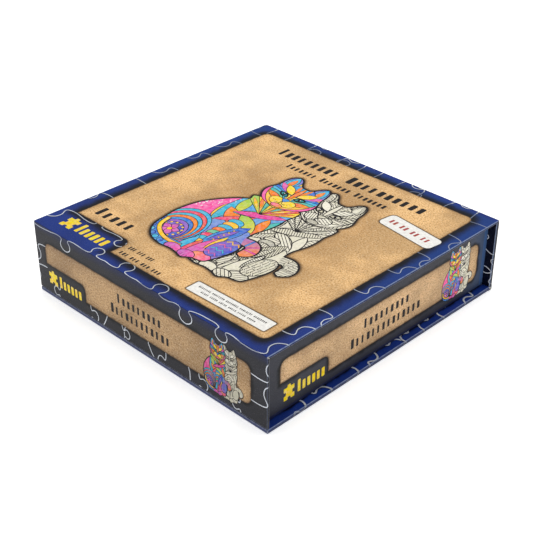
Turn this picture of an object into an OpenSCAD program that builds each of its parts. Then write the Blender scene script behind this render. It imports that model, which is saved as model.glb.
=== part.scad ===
// Book-style rigid gift box with a hinged lid and a magnetic front flap.
// It holds a separate open tray, loose interlocking wooden puzzle pieces in layers,
// and a folded picture guide. Millimetres. +X right, -Y the flap's side, +Z up.

/* [Box] */
// Outside width, left to right
box_w = 240; // [240:1:280]
// Outside depth, front to back
box_d = 240; // [240:1:280]
// Outside height when closed
box_h = 59.4; // [58:0.1:75]
// How far the case stands out past the tray at each side
overhang = 7; // [4:0.5:7.4]
// Gap between the flap's inner face and the tray
flap_gap = 0.4; // [0.3:0.05:0.8]

/* [Board and paper] */
// Greyboard in the base and the spine
base_board_t = 2.6; // [2.2:0.1:3]
// Greyboard in the lid and the flap
lid_board_t = 1.4; // [1.2:0.1:2.2]
// Greyboard in the tray
tray_board_t = 2; // [1.5:0.1:2.2]
// Printed paper and lining paper
paper_t = 0.2; // [0.15:0.01:0.25]
// Gummed tape at the tray's corners
tape_t = 0.1; // [0.05:0.01:0.15]
// Width of the printed paper turned in round a free edge
turn_in = 15; // [10:1:20]
// Reach of the paper hinge on each side of a fold
hinge_reach = 4; // [3:0.5:6]
// Gap left along each mitred fold
fold_gap = 0.2; // [0.15:0.05:0.4]
// Gap between the flap's lower edge and the base panel
flap_lift = 0.6; // [0.4:0.1:1.5]

/* [Closure] */
// Radius of the magnets and of the steel plates
magnet_r = 7.5; // [5:0.5:9]
// Thickness of each magnet
magnet_t = 1; // [0.8:0.1:1.2]
// Thickness of each steel plate
plate_t = 0.8; // [0.5:0.1:1]
// Distance of each magnet from the middle of the flap
magnet_x = 70; // [40:1:90]
// Height of the magnets above the table
magnet_z = 16; // [13:0.5:40]

/* [Puzzle] */
// Width of one piece without its knobs
cell_w = 27.5; // [25:0.25:27.5]
// Height of one piece without its knobs
cell_h = 28; // [25:0.25:28]
// Thickness of one piece
piece_t = 5; // [3:0.25:5]
// Radius of a knob
knob_r = 3.5; // [3:0.1:3.5]
// How far a knob's centre stands past the edge
knob_out = 2.2; // [1.5:0.1:2.2]
// Sideways scatter of the knobs along an edge
knob_drift = 2; // [0:0.1:2]
// Width of the cut between two pieces
kerf = 0.15; // [0.1:0.01:0.25]
// Largest tilt of a loose piece, in degrees
piece_tilt = 2.5; // [0:0.1:2.5]
// Height of one loose layer
layer_h = 6.8; // [6.8:0.1:7]

/* [Picture guide] */
// Width of the folded guide
guide_w = 105; // [90:1:105]
// Length of the folded guide
guide_l = 148; // [120:1:148]
// Thickness of one leaf
leaf_t = 0.45; // [0.3:0.05:0.6]

/* [Hidden] */
$fn = 48;
cols = 16;  // pieces along the picture's long side
rows = 10;  // pieces along its short side

base_t = base_board_t + 2 * paper_t;
lid_t = lid_board_t + 2 * paper_t;
hx = box_w / 2;
hy = box_d / 2;
mitre = fold_gap / 2 * sqrt(2);     // clearance of a mitred end, measured along the panel
lining_mitre = paper_t * sqrt(2);   // the lining on a mitred end, measured the same way
flap_z0 = base_t + flap_lift;

// the tray's outside, its board and its lined inside
tray_x = hx - overhang;
tray_y0 = -hy + lid_t + flap_gap;
tray_y1 = hy - base_t;
tray_z0 = base_t;
tray_z1 = box_h - lid_t - 0.2;
skin = paper_t + tape_t;
wall = skin + tray_board_t + paper_t;
floor_z = tray_z0 + paper_t + tray_board_t + paper_t;

// colours
printed_blue = "midnightblue";
printed_grey = "dimgray";
greyboard = "tan";
lining_paper = "ivory";

// ---------- folded panels ----------
// A panel is drawn lying down: its outer face at z = 0, its thickness t upwards, its run along Y.
// m0 and m1 say whether the end at v0 or v1 is mitred (1) or square (0).
// back0 and back1 hold each end back, and w0..w1 is the part of the thickness that is drawn.
module slab(v0, v1, m0, m1, back0, back1, w0, w1, half) {
    translate([-half, 0, 0])
        rotate([90, 0, 90])
            linear_extrude(height = 2 * half)
                polygon([
                    [v0 + back0 + m0 * w0, w0],
                    [v1 - back1 - m1 * w0, w0],
                    [v1 - back1 - m1 * w1, w1],
                    [v0 + back0 + m0 * w1, w1]
                ]);
}

function hold(m, square_back, mitred_back) = m == 1 ? mitred_back : square_back;

module panel_board(t, v0, v1, m0, m1) {
    b0 = hold(m0, paper_t, mitre + lining_mitre);
    b1 = hold(m1, paper_t, mitre + lining_mitre);
    slab(v0, v1, m0, m1, b0, b1, paper_t, t - paper_t, hx - paper_t);
}

// the printed paper: outer face, edges, and the margin turned in round the free edges
module panel_wrap(t, v0, v1, m0, m1) {
    reach0 = hold(m0, 0, hinge_reach);
    reach1 = hold(m1, 0, hinge_reach);
    e0 = hold(m0, 0, mitre);
    e1 = hold(m1, 0, mitre);
    in0 = hold(m0, turn_in, mitre - 1);
    in1 = hold(m1, turn_in, mitre - 1);
    slab(v0, v1, 0, 0, reach0, reach1, 0, paper_t, hx);
    difference() {
        slab(v0, v1, m0, m1, e0, e1, paper_t, t, hx);
        slab(v0, v1, m0, m1, hold(m0, paper_t, -1), hold(m1, paper_t, -1),
             0, t - paper_t, hx - paper_t);
        slab(v0, v1, m0, m1, in0, in1, t - 2 * paper_t, t + 1, hx - turn_in);
    }
}

// the lining paper: the window between the turned-in margins, and the mitred ends
module panel_liner(t, v0, v1, m0, m1) {
    b0 = hold(m0, turn_in, mitre);
    b1 = hold(m1, turn_in, mitre);
    slab(v0, v1, m0, m1, b0, b1, t - paper_t, t, hx - turn_in);
    if (m0 == 1) slab(v0, v0, 1, -1, mitre, -mitre - lining_mitre,
                      paper_t, t - paper_t, hx - paper_t);
    if (m1 == 1) slab(v1, v1, -1, 1, -mitre - lining_mitre, mitre,
                      paper_t, t - paper_t, hx - paper_t);
}

// a paper hinge round the outside of a fold whose corner is at the origin
module fold_strip() {
    translate([-hx, 0, 0])
        rotate([90, 0, 90])
            linear_extrude(height = box_w)
                polygon([
                    [0, 0],
                    [hinge_reach, 0],
                    [hinge_reach, paper_t],
                    [paper_t, paper_t],
                    [paper_t, hinge_reach],
                    [0, hinge_reach]
                ]);
}

// where each panel stands in the box
module as_lid() { translate([0, 0, box_h]) mirror([0, 0, 1]) children(); }
module as_spine() { translate([0, hy, 0]) rotate([90, 0, 0]) children(); }
module as_flap() { translate([0, -hy, 0]) mirror([0, 1, -1]) children(); }

// ---------- case: base, spine, lid and flap ----------
module base_board() { color(greyboard) panel_board(base_t, -hy, hy, 0, 1); }
module base_wrap() { color(printed_blue) panel_wrap(base_t, -hy, hy, 0, 1); }
module base_liner() { color(lining_paper) panel_liner(base_t, -hy, hy, 0, 1); }
module base_fold() { color(printed_grey) translate([0, hy, 0]) mirror([0, 1, 0]) fold_strip(); }

module spine_board() { color(greyboard) as_spine() panel_board(base_t, 0, box_h, 1, 1); }
module spine_wrap() { color(printed_grey) as_spine() panel_wrap(base_t, 0, box_h, 1, 1); }
module spine_liner() { color(lining_paper) as_spine() panel_liner(base_t, 0, box_h, 1, 1); }

module lid_board() { color(greyboard) as_lid() panel_board(lid_t, -hy, hy, 1, 1); }
module lid_wrap() { color(printed_blue) as_lid() panel_wrap(lid_t, -hy, hy, 1, 1); }
module lid_liner() { color(lining_paper) as_lid() panel_liner(lid_t, -hy, hy, 1, 1); }
module lid_fold() {
    color(printed_blue) translate([0, hy, box_h]) mirror([0, 1, 0]) mirror([0, 0, 1]) fold_strip();
}

module flap_board() {
    color(greyboard)
        as_flap()
            difference() {
                panel_board(lid_t, flap_z0, box_h, 0, 1);
                for (side = [-1, 1])
                    translate([side * magnet_x, magnet_z, lid_t - paper_t - magnet_t])
                        cylinder(r = magnet_r, h = magnet_t + 1);
            }
}
module flap_wrap() { color(printed_grey) as_flap() panel_wrap(lid_t, flap_z0, box_h, 0, 1); }
module flap_liner() { color(lining_paper) as_flap() panel_liner(lid_t, flap_z0, box_h, 0, 1); }
module flap_fold() { color(printed_grey) translate([0, -hy, box_h]) mirror([0, 0, 1]) fold_strip(); }

module magnet(side) {
    color("silver")
        as_flap()
            translate([side * magnet_x, magnet_z, lid_t - paper_t - magnet_t])
                cylinder(r = magnet_r, h = magnet_t);
}
module flap_magnet_left() { magnet(-1); }
module flap_magnet_right() { magnet(1); }

// ---------- tray ----------
// the space inside the tray's outline, held back by "by" on every side
module core(by, z0, z1) {
    translate([-tray_x + by, tray_y0 + by, z0])
        cube([2 * (tray_x - by), tray_y1 - tray_y0 - 2 * by, z1 - z0]);
}

module belt(outer, inner, z0, z1) {
    difference() {
        core(outer, z0, z1);
        core(inner, z0 - 1, z1 + 1);
    }
}

tray_side = tray_y1 - tray_y0 - 2 * (skin + tray_board_t);

module tray_floor() { color(greyboard) core(skin, tray_z0 + paper_t, tray_z0 + paper_t + tray_board_t); }

module wall_board(x0, y0, w, d) {
    translate([x0, y0, floor_z - paper_t])
        cube([w, d, tray_z1 - paper_t - floor_z + paper_t]);
}
module catch_plate(side, proud) {
    translate([side * magnet_x, tray_y0 + skin - proud, magnet_z])
        rotate([-90, 0, 0])
            cylinder(r = magnet_r, h = plate_t + proud);
}
module tray_front_wall() {
    color(greyboard)
        difference() {
            wall_board(-tray_x + skin, tray_y0 + skin, 2 * (tray_x - skin), tray_board_t);
            catch_plate(-1, 1);
            catch_plate(1, 1);
        }
}
module tray_back_wall() {
    color(greyboard)
        wall_board(-tray_x + skin, tray_y1 - skin - tray_board_t, 2 * (tray_x - skin), tray_board_t);
}
module tray_left_wall() {
    color(greyboard)
        wall_board(-tray_x + skin, tray_y0 + skin + tray_board_t, tray_board_t, tray_side);
}
module tray_right_wall() {
    color(greyboard)
        wall_board(tray_x - skin - tray_board_t, tray_y0 + skin + tray_board_t, tray_board_t, tray_side);
}

module tray_corner_tape() {
    leg = 18;
    mid_y = (tray_y0 + tray_y1) / 2;
    half_y = (tray_y1 - tray_y0) / 2;
    color("beige")
        difference() {
            belt(paper_t, skin, tray_z0 + paper_t, tray_z1 - paper_t);
            translate([-tray_x - 1, mid_y - half_y + leg, 0])
                cube([2 * tray_x + 2, 2 * (half_y - leg), box_h]);
            translate([-tray_x + leg, mid_y - half_y - 1, 0])
                cube([2 * (tray_x - leg), 2 * half_y + 2, box_h]);
        }
}

// printed paper: outside, over the rim, down the inside and under the floor
module tray_wrap() {
    color(printed_grey) {
        belt(0, paper_t, tray_z0, tray_z1);
        belt(0, wall, tray_z1 - paper_t, tray_z1);
        belt(wall - paper_t, wall, tray_z1 - turn_in, tray_z1);
        belt(0, turn_in, tray_z0, tray_z0 + paper_t);
    }
}

module tray_lining() {
    color(lining_paper) {
        belt(wall - paper_t, wall, floor_z - paper_t, tray_z1 - turn_in);
        core(wall - paper_t, floor_z - paper_t, floor_z);
    }
}

module catch_plate_left() { color("silver") catch_plate(-1, 0); }
module catch_plate_right() { color("silver") catch_plate(1, 0); }

// ---------- puzzle ----------
// Each inner seam has one knob. A seam's sign says which piece carries it, so all pieces interlock.
seam_v_sign = rands(-1, 1, cols * rows, 11);
seam_v_drift = rands(-knob_drift, knob_drift, cols * rows, 12);
seam_h_sign = rands(-1, 1, cols * rows, 13);
seam_h_drift = rands(-knob_drift, knob_drift, cols * rows, 14);
turn_of = rands(0, 360, cols * rows, 15);
tilt_of = rands(0, piece_tilt, cols * rows, 16);
tilt_way = rands(0, 360, cols * rows, 17);
flip_of = rands(0, 1, cols * rows, 18);

// a knob on one side: "out" is the way out of this piece, "own" says whether this piece carries it
module knob(out, drift, own) {
    r = own ? knob_r - kerf / 2 : knob_r + kerf / 2;
    reach = own ? knob_out : -knob_out;
    across = [out[1] == 0 ? 0 : 1, out[0] == 0 ? 0 : 1];
    side = [out[0] * cell_w / 2, out[1] * cell_h / 2];
    translate(side + out * reach + across * drift) circle(r = r);
}

// the four sides of piece i, j: which way, is there a neighbour, its seam's sign and drift
function sides(i, j) = [
    [[1, 0], i < cols - 1, seam_v_sign[j * cols + i], seam_v_drift[j * cols + i], 1],
    [[-1, 0], i > 0, seam_v_sign[j * cols + i - 1], seam_v_drift[j * cols + i - 1], -1],
    [[0, 1], j < rows - 1, seam_h_sign[j * cols + i], seam_h_drift[j * cols + i], 1],
    [[0, -1], j > 0, seam_h_sign[(j - 1) * cols + i], seam_h_drift[(j - 1) * cols + i], -1]
];

module piece(i, j) {
    linear_extrude(height = piece_t)
        difference() {
            union() {
                square([cell_w - kerf, cell_h - kerf], center = true);
                for (s = sides(i, j))
                    if (s[1] && s[2] * s[4] > 0) knob(s[0], s[3], true);
            }
            for (s = sides(i, j))
                if (s[1] && s[2] * s[4] <= 0) knob(s[0], s[3], false);
        }
}

// loose pieces lie in staggered rows, each turned, tilted and face up or face down
per_row = 5;
layer_rows = 6;
per_layer = per_row * layer_rows;
reach_r = norm([cell_h / 2 + knob_out, knob_drift]) + knob_r + 0.1;
pitch_x = (2 * (tray_x - wall) - 2 * reach_r) / (per_row - 0.5);
pitch_y = (tray_y1 - tray_y0 - 2 * wall - 2 * reach_r) / (layer_rows - 1);
heap_y = (tray_y0 + tray_y1) / 2;

module loose_piece(k, row, col, layer) {
    n = (k * 37 + 11) % (cols * rows);
    x = (col - (per_row - 1) / 2 + (row % 2 == 0 ? -0.25 : 0.25)) * pitch_x;
    y = heap_y + (row - (layer_rows - 1) / 2) * pitch_y;
    translate([x, y, floor_z + 0.2 + (layer - 0.5) * layer_h])
        rotate([0, 0, tilt_way[k]])
            rotate([tilt_of[k], 0, 0])
                rotate([flip_of[k] < 0.4 ? 180 : 0, 0, turn_of[k]])
                    translate([0, 0, -piece_t / 2])
                        piece(n % cols, floor(n / cols));
}

module full_layer(layer) {
    color("burlywood")
        for (s = [0 : per_layer - 1])
            loose_piece((layer - 1) * per_layer + s, floor(s / per_row), s % per_row, layer);
}
module puzzle_layer_1() { full_layer(1); }
module puzzle_layer_2() { full_layer(2); }
module puzzle_layer_3() { full_layer(3); }
module puzzle_layer_4() { full_layer(4); }
module puzzle_layer_5() { full_layer(5); }

// the last pieces lie two to a row at the left, beside the guide
module puzzle_layer_6() {
    first = 5 * per_layer;
    color("burlywood")
        for (s = [0 : cols * rows - first - 1])
            loose_piece(first + s, floor(s / 2), s % 2, 6);
}

// ---------- picture guide ----------
guide_turn = 5;
guide_x = tray_x - wall - 0.8 - (guide_w * cos(guide_turn) + guide_l * sin(guide_turn)) / 2;
guide_z = floor_z + 0.4 + 5 * layer_h;
module picture_guide() {
    color("linen")
        translate([guide_x, heap_y, guide_z])
            rotate([0, 0, guide_turn])
                translate([-guide_w / 2, guide_l / 2, 0])
                    rotate([90, 0, 0])
                        linear_extrude(height = guide_l)
                            difference() {
                                square([guide_w, 2.6 * leaf_t]);
                                translate([leaf_t, leaf_t]) square([guide_w, 0.6 * leaf_t]);
                            }
}

base_board();
base_wrap();
base_liner();
base_fold();
spine_board();
spine_wrap();
spine_liner();
tray_floor();
tray_front_wall();
tray_back_wall();
tray_left_wall();
tray_right_wall();
tray_corner_tape();
tray_wrap();
tray_lining();
catch_plate_left();
catch_plate_right();
puzzle_layer_1();
puzzle_layer_2();
puzzle_layer_3();
puzzle_layer_4();
puzzle_layer_5();
puzzle_layer_6();
picture_guide();
lid_board();
lid_wrap();
lid_liner();
lid_fold();
flap_board();
flap_wrap();
flap_liner();
flap_fold();
flap_magnet_left();
flap_magnet_right();
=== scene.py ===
"""A boxed jigsaw puzzle: a printed magnetic gift box, its tray, loose wooden pieces and guide.

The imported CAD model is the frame, and this script gives it paper, print, board and wood.
Printed art is drawn as flat outlines in millimetres, painted one over another. Each sheet of
paper then becomes one thin closed mesh that is cut along those outlines and folded into place.
Nothing is written out in letters: where a box has words, this one has rows of plain marks.
"""

import math
import random
from collections import namedtuple

import bmesh
import bpy
import numpy as np
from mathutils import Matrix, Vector, geometry
from mathutils.bvhtree import BVHTree


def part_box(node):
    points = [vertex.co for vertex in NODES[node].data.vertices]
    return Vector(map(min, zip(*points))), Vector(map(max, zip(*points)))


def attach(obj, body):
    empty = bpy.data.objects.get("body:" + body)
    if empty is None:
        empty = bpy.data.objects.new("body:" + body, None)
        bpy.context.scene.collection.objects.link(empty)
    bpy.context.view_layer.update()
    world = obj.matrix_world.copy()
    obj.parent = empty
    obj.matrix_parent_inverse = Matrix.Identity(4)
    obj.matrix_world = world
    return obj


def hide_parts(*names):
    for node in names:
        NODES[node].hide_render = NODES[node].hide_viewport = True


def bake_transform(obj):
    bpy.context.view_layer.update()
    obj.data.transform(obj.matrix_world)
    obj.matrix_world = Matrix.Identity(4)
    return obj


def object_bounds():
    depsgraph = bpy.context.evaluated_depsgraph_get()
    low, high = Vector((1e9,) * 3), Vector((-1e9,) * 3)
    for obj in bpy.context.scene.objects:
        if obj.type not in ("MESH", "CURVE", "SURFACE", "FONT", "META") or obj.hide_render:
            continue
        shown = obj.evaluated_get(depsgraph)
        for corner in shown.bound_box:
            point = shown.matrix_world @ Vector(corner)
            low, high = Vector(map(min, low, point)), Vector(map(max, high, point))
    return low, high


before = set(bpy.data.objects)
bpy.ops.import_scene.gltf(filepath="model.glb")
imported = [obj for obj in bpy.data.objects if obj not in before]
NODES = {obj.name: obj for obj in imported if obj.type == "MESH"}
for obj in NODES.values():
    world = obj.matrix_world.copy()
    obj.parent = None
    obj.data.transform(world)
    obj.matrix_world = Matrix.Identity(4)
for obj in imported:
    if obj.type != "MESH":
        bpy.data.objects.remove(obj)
CAD_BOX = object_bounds()
MM = 0.001

# ---------- sizes in millimetres, read from the frame ----------
HX = CAD_BOX[1].x / MM
HY = CAD_BOX[1].y / MM
HEIGHT = CAD_BOX[1].z / MM
BASE_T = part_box("base_wrap")[1].z / MM
LID_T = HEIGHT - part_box("lid_wrap")[0].z / MM
FLAP_Z0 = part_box("flap_wrap")[0].z / MM
FOLD_LOW, FOLD_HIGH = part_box("flap_fold")
HINGE_REACH = (FOLD_HIGH.y - FOLD_LOW.y) / MM  # how far a paper hinge reaches over a panel
TRAY_LOW, TRAY_HIGH = (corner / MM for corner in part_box("tray_wrap"))
GUIDE_LOW, GUIDE_HIGH = (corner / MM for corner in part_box("picture_guide"))

PAPER = 0.15  # thickness of a printed sheet
PROUD = 0.03  # how far a printed sheet stands proud of the board it covers
TOUCH = 0.02  # gap between a sheet's end and the next board
EDGE_R = 0.6  # rounding of a paper-wrapped edge
FOLD_R = 0.5  # rounding of a folded corner
MITRE = 0.42  # how far a mitred board end is held back from its fold
EDGE_ARC = EDGE_R * math.pi / 2
FLAT_X = HX - EDGE_R  # half the width of the flat part of a panel

# ---------- printed colours ----------


def srgb(r, g, b):
    """A colour given as 0 to 255, as the shader wants it."""
    c = np.array([r, g, b]) / 255
    return tuple(np.where(c <= 0.04045, c / 12.92, ((c + 0.055) / 1.055) ** 2.4).tolist())


NAVY, FAR_NAVY = srgb(17, 48, 128), srgb(10, 58, 122)
CHARCOAL, DULL_CHARCOAL = srgb(37, 37, 43), srgb(57, 58, 67)
SEAM = srgb(216, 221, 230)
SEAM_SHADE = 0.35  # the share of a border's light left beside a seam
# pale edge line: real wear with a painted highlight
PALE_WEAR_AND_HIGHLIGHT = srgb(136, 150, 178)
# a greyer blue mixed into board side faces and board papers
GREYED_BLUE = srgb(52, 57, 78)
DULL_BLUE, TRAY_FOOT, TRAY_END = srgb(84, 108, 146), srgb(36, 42, 78), srgb(44, 82, 136)
EDGE_IN_SHADE = srgb(24, 28, 52)
KRAFT = srgb(220, 178, 122)
# kraft tones darkened as painted shade for the flap and the tray walls
KRAFT_FLAP_SHADED, KRAFT_WALL_SHADED = srgb(175, 142, 101), srgb(208, 171, 126)
SCORCH = srgb(62, 36, 18)
BLACK = srgb(22, 18, 20)
YELLOW = srgb(240, 208, 48)
WHITE = srgb(240, 238, 232)
LABEL_RED = srgb(170, 70, 66)
PINK, MAGENTA, ORANGE = srgb(246, 104, 172), srgb(232, 80, 160), srgb(250, 150, 62)
SUN, TEAL, SKY = srgb(250, 216, 72), srgb(70, 190, 188), srgb(84, 182, 230)
ROYAL, PURPLE, GREEN = srgb(72, 104, 204), srgb(154, 106, 200), srgb(158, 206, 92)
RED = srgb(238, 92, 62)
RAINBOW = [SUN, ORANGE, RED, PINK, PURPLE, ROYAL, SKY, TEAL, GREEN]
CREAM_DARK, CREAM_LIGHT = srgb(218, 211, 186), srgb(244, 239, 220)


def shade(colour, k):
    """The colour with k times its light."""
    return tuple(v * k for v in colour)


def blended(one, other, share):
    return tuple(a + (b - a) * share for a, b in zip(one, other))


def next_colour(colour):
    """The neighbour that a picture colour fades into."""
    return RAINBOW[(RAINBOW.index(colour) + 1) % len(RAINBOW)] if colour in RAINBOW else colour


def cream(colour):
    """The uncoloured side's tone for a patch of that colour."""
    light = min(1, 1.3 * (0.3 * colour[0] + 0.6 * colour[1] + 0.1 * colour[2]))
    return tuple(a + (b - a) * light for a, b in zip(CREAM_DARK, CREAM_LIGHT))


# ---------- materials ----------
class Ink:
    """One material's node graph.

    Places are in millimetres: those stored on a sheet, or the object's own.
    """

    def __init__(self, name, rough=0.5, specular=0.4, on_sheet=False):
        self.material = bpy.data.materials.new(name)
        self.material.use_nodes = True
        self.tree = self.material.node_tree
        self.tree.nodes.clear()
        out = self.tree.nodes.new("ShaderNodeOutputMaterial")
        self.bsdf = self.tree.nodes.new("ShaderNodeBsdfPrincipled")
        self.tree.links.new(self.bsdf.outputs[0], out.inputs[0])
        self.set("Roughness", rough)
        self.set("Specular IOR Level", specular)
        if on_sheet:
            self.place = self.node("Attribute", attribute_name="sheet", out=1)
        else:
            self.place = self.scaled(self.node("TexCoord", out=3), 1 / MM)

    def put(self, socket, value):
        """Links another socket to this one, or sets its number, vector or colour."""
        if isinstance(value, bpy.types.NodeSocket):
            self.tree.links.new(value, socket)
        elif socket.type == "RGBA":
            socket.default_value = (*value, 1)
        else:
            socket.default_value = value

    def set(self, socket, value):
        """Puts a value on one of the surface's own sockets."""
        self.put(self.bsdf.inputs[socket], value)
        return self

    def node(self, kind, *values, out=0, **settings):
        """Adds a node with its inputs in order, and gives one output."""
        n = self.tree.nodes.new("ShaderNode" + kind)
        for key, value in settings.items():
            setattr(n, key, value)
        for i, value in enumerate(values):
            if value is not None:
                self.put(n.inputs[i], value)
        return n.outputs[out]

    def fill(self, node, **values):
        """Puts a value on each of a node's inputs that is named."""
        for key, value in values.items():
            self.put(node.inputs[key], value)

    def math(self, operation, a, b=None):
        return self.node("Math", a, b, operation=operation)

    def vector(self, operation, a, b=None, out=0):
        return self.node("VectorMath", a, b, operation=operation, out=out)

    def scaled(self, vector, k):
        return self.vector("MULTIPLY", vector, (k, k, k) if isinstance(k, (int, float)) else k)

    def noise(self, size, detail, rough=0.55, at=None):
        """Noise from 0 to 1 whose lumps are about size millimetres across."""
        n = self.tree.nodes.new("ShaderNodeTexNoise")
        self.fill(n, Vector=at or self.place, Scale=1 / size, Detail=detail, Roughness=rough)
        return n.outputs["Fac"]

    def ramp(self, value, low, high, to_low=0.0, to_high=1.0):
        """A smooth step from to_low to to_high as the value goes from low to high."""
        return self.node("MapRange", value, low, high, to_low, to_high, interpolation_type="SMOOTHSTEP")

    def mix(self, share, a, b):
        """Colour a, with that share of colour b over it."""
        n = self.tree.nodes.new("ShaderNodeMix")
        n.data_type = "RGBA"
        for i, value in ((0, share), (6, a), (7, b)):
            self.put(n.inputs[i], value)
        return n.outputs[2]

    def mottled(self, colour, other, size, detail, share, low=0.3, high=0.7, rough=0.55):
        """The colour with up to that share of another one where noise rises from low to high."""
        return self.mix(self.ramp(self.noise(size, detail, rough), low, high, 0.0, share), colour, other)

    def parts(self, vector):
        """The three parts of a vector."""
        return self.node("SeparateXYZ", vector).node.outputs

    def printed(self):
        """The ink that a sheet holds at this point."""
        return self.node("Attribute", attribute_name="ink")

    def glow(self):
        """How far this point is from a shape that scorches the board, as a share of its reach."""
        return self.node("Attribute", attribute_name="glow", out=2)

    def box_distance(self, x0, x1, y0, y1, r):
        """Distance outside a rounded rectangle on the sheet, negative inside it."""
        centre = ((x0 + x1) / 2, (y0 + y1) / 2, 0)
        half = ((x1 - x0) / 2 - r, (y1 - y0) / 2 - r, 1e6)
        from_centre = self.vector("ABSOLUTE", self.vector("SUBTRACT", self.place, centre))
        q = self.vector("SUBTRACT", from_centre, half)
        outside = self.vector("LENGTH", self.vector("MAXIMUM", q, (0, 0, 0)), out=1)
        qx, qy, _ = self.parts(q)
        inside = self.math("MINIMUM", self.math("MAXIMUM", qx, qy), 0.0)
        return self.math("SUBTRACT", self.math("ADD", outside, inside), r)

    def panel_distance(self, panel, notch):
        """Distance outside a kraft panel that may have a notch cut from one corner."""
        if not notch:
            return self.box_distance(*panel)
        into_notch = self.math("MULTIPLY", self.box_distance(*notch), -1.0)
        return self.math("MAXIMUM", self.box_distance(*panel), into_notch)

    def bump(self, height, strength, depth):
        """Relief from a height of 0 to 1, that deep in millimetres."""
        n = self.tree.nodes.new("ShaderNodeBump")
        self.fill(n, Strength=strength, Distance=depth * MM, Height=height)
        return self.set("Normal", n.outputs[0])


def laminated(ink, colour):
    """The material in that colour, under the faint orange-peel of a film laid over print."""
    ink.set("Base Color", colour)
    peel = ink.noise(1.2, 4)
    ink.bump(peel, 0.12, 0.06)
    ink.set("Roughness", ink.ramp(peel, 0.3, 0.7, 0.40, 0.52))
    return ink.material


def border_ink(name, panel=None, notch=None, edged=True, dulled=None, side=EDGE_IN_SHADE,
               black=(1.5, 9.5), wear_and_highlight=1.0, tint=None):
    """The dark jigsaw border, paler along the board's edges by the share wear_and_highlight: real wear
    there, with a painted highlight.

    side is the colour of those edges. black is where the black round the kraft panel starts to
    fade and where it ends. dulled is where along the sheet the border starts and ends turning to
    a greyer blue. tint is a colour it takes on, and where up the sheet that starts and ends.
    """
    ink = Ink(name, specular=0.15, on_sheet=True)
    across, up, _ = ink.parts(ink.place)
    colour = ink.mottled(ink.printed(), (0, 0, 0), 30, 3, 0.25)
    colour = ink.mottled(colour, SEAM, 0.7, 2, 0.12, 0.55, 0.85)
    if tint:
        colour = ink.mix(ink.ramp(up, *tint[1:], 0.0, 0.6), colour, tint[0])
    if dulled:
        colour = ink.mix(ink.ramp(across, *dulled, 0.0, 0.45), colour, DULL_BLUE)
    if panel:
        wander = ink.ramp(ink.noise(9, 2), 0.3, 0.7, -0.8, 0.8)
        reach = ink.math("ADD", ink.panel_distance(panel, notch), wander)
        off_seams = ink.ramp(ink.printed(), 0.25, 0.5, 1.0, 0.3)
        share = ink.math("MULTIPLY", ink.ramp(reach, *black, 0.97, 0.0), off_seams)
        colour = ink.mix(share, colour, (0, 0, 0))
    if edged:
        # a pale line along the board's edge: real wear, and a painted highlight where the rounded edge meets
        # the light; past it the side faces take the colour side
        out = ink.math("SUBTRACT", ink.math("ABSOLUTE", across), FLAT_X)
        colour = ink.mix(ink.ramp(out, EDGE_ARC * 0.7, EDGE_ARC, 0.0, 0.85), colour, side)
        fading = ink.ramp(out, EDGE_ARC * 0.5, EDGE_ARC * 0.8, 1.0, 0.0)
        wear_and_highlight_band = ink.math("MULTIPLY", ink.ramp(out, -0.2, 0.1), fading)
        wear_and_highlight_share = ink.ramp(ink.noise(4, 4, 0.7), 0.3, 0.6, 0.4 * wear_and_highlight, wear_and_highlight)
        colour = ink.mix(ink.math("MULTIPLY", wear_and_highlight_band, wear_and_highlight_share), colour, PALE_WEAR_AND_HIGHLIGHT)
    return laminated(ink, colour)


def kraft_ink(name, panel=None, notch=None, tone=KRAFT, browned=None):
    """Speckled brown packing board, scorched along its edge and round the pictures.

    browned is a rounded box on the sheet, and the board is darker inside it.
    """
    ink = Ink(name, specular=0.15, on_sheet=True)
    light, dark = shade(tone, 1.3), (tone[0] * 0.5, tone[1] * 0.4, tone[2] * 0.3)
    clouds = ink.noise(60, 4, 0.6, ink.vector("ADD", ink.place, (260, 90, 0)))
    colour = ink.mix(ink.ramp(clouds, 0.4, 0.6), light, shade(tone, 0.88))
    if browned:
        colour = ink.mix(ink.ramp(ink.box_distance(*browned), -25, 25, 0.42, 0.0), colour, dark)
    colour = ink.mottled(colour, dark, 26, 4, 0.22, 0.5, 0.68, 0.6)
    grain = ink.noise(1.35, 2, 0.8, ink.scaled(ink.place, (1, 1.2, 1)))
    colour = ink.mix(ink.ramp(grain, 0.45, 0.68, 0.0, 0.8), colour, dark)
    colour = ink.mix(ink.ramp(grain, 0.34, 0.47, 0.22, 0.0), colour, CREAM_LIGHT)
    colour = ink.mottled(colour, SCORCH, 1.3, 2, 0.7, 0.64, 0.7)
    if panel:
        wander = ink.ramp(ink.noise(5, 3), 0.3, 0.7, -0.3, 0.3)
        depth = ink.math("ADD", ink.panel_distance(panel, notch), wander)
        colour = ink.mix(ink.ramp(depth, -7.0, 0.0, 0.0, 0.25), colour, SCORCH)
        colour = ink.mix(ink.ramp(depth, -1.7, 0.3, 0.0, 0.92), colour, SCORCH)
    colour = ink.mix(ink.ramp(ink.glow(), 0.0, 1.0, 0.9, 0.0), colour, shade(SCORCH, 0.6))
    return laminated(ink, colour)


def art_ink():
    """Picture colours, washed like watercolour and speckled by the board's grain."""
    ink = Ink("printed_art", specular=0.15, on_sheet=True)
    wash = ink.tree.nodes.new("ShaderNodeHueSaturation")
    ink.fill(
        wash,
        Hue=ink.ramp(ink.noise(6, 2), 0.25, 0.75, 0.488, 0.512),
        Saturation=ink.ramp(ink.noise(3, 3), 0.3, 0.7, 0.85, 1.1),
        Value=ink.ramp(ink.noise(2.2, 4, 0.6), 0.25, 0.75, 0.86, 1.12),
        Color=ink.printed(),
    )
    return laminated(ink, ink.mottled(wash.outputs[0], (0.02, 0.01, 0.01), 0.6, 2, 0.2, 0.6, 0.8))


ART = art_ink()


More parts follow.
